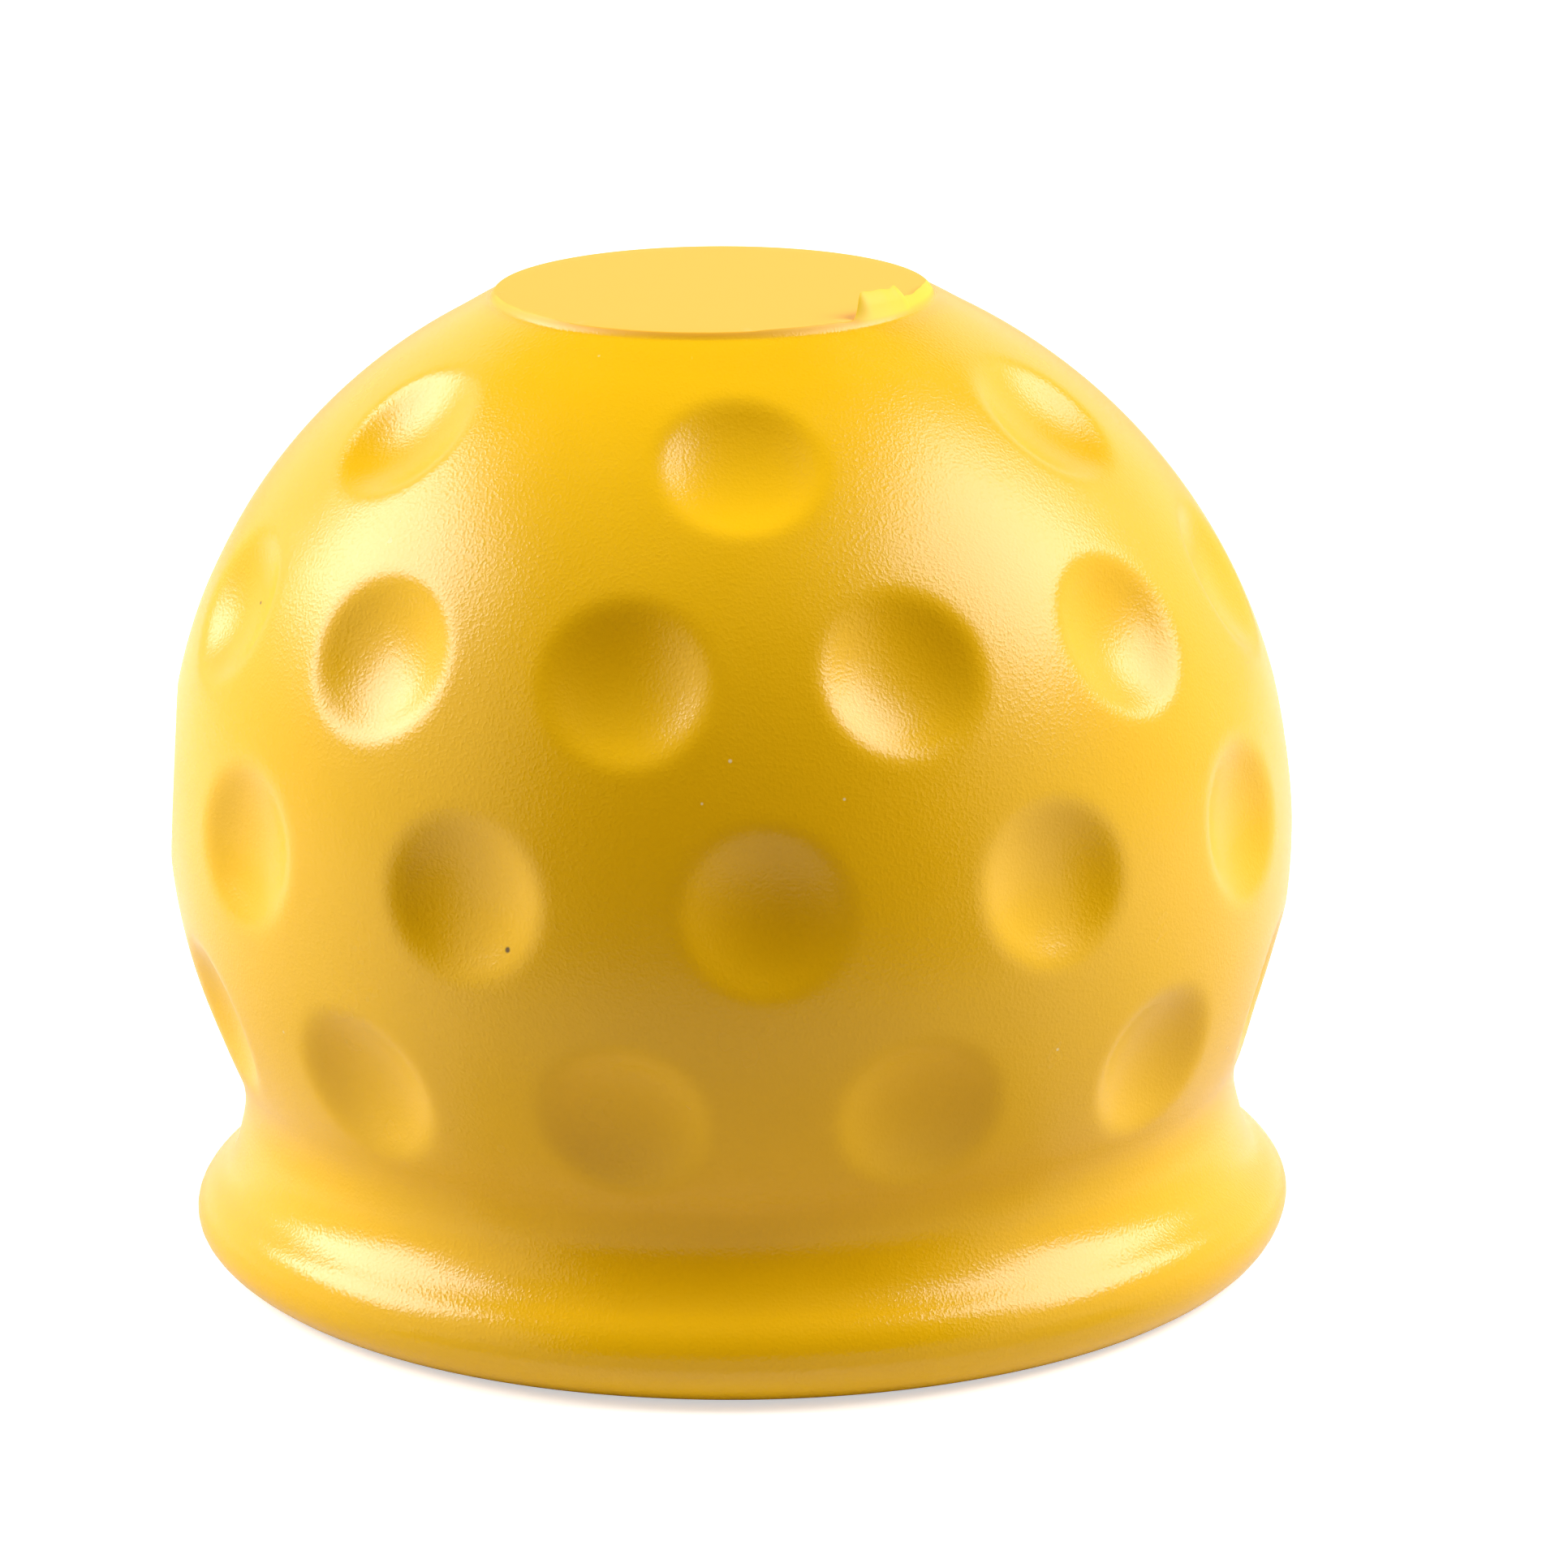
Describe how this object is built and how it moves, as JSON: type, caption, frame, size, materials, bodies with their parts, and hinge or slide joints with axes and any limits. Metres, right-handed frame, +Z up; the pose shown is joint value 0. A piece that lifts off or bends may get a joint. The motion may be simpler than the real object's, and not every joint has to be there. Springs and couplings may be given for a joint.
{
  "type": "tow ball cover",
  "caption": "Soft one-piece cap shaped like a golf ball, dimpled outside, flat on top and open below, with a narrowed neck and a rounded rim that pulls over a tow ball.",
  "frame": {"origin": "centre of the base ring, on the plane that the cover stands on", "axes": "+Z up the cover's axis, from the open mouth to the flat top; -Y towards the dimple in the front of the top ring"},
  "size_m": [0.0648, 0.0648, 0.0561],
  "materials": {
    "soft_pvc": "satin"
  },
  "bodies": {
    "root": {"cover": "soft_pvc"}
  },
  "joints": []
}
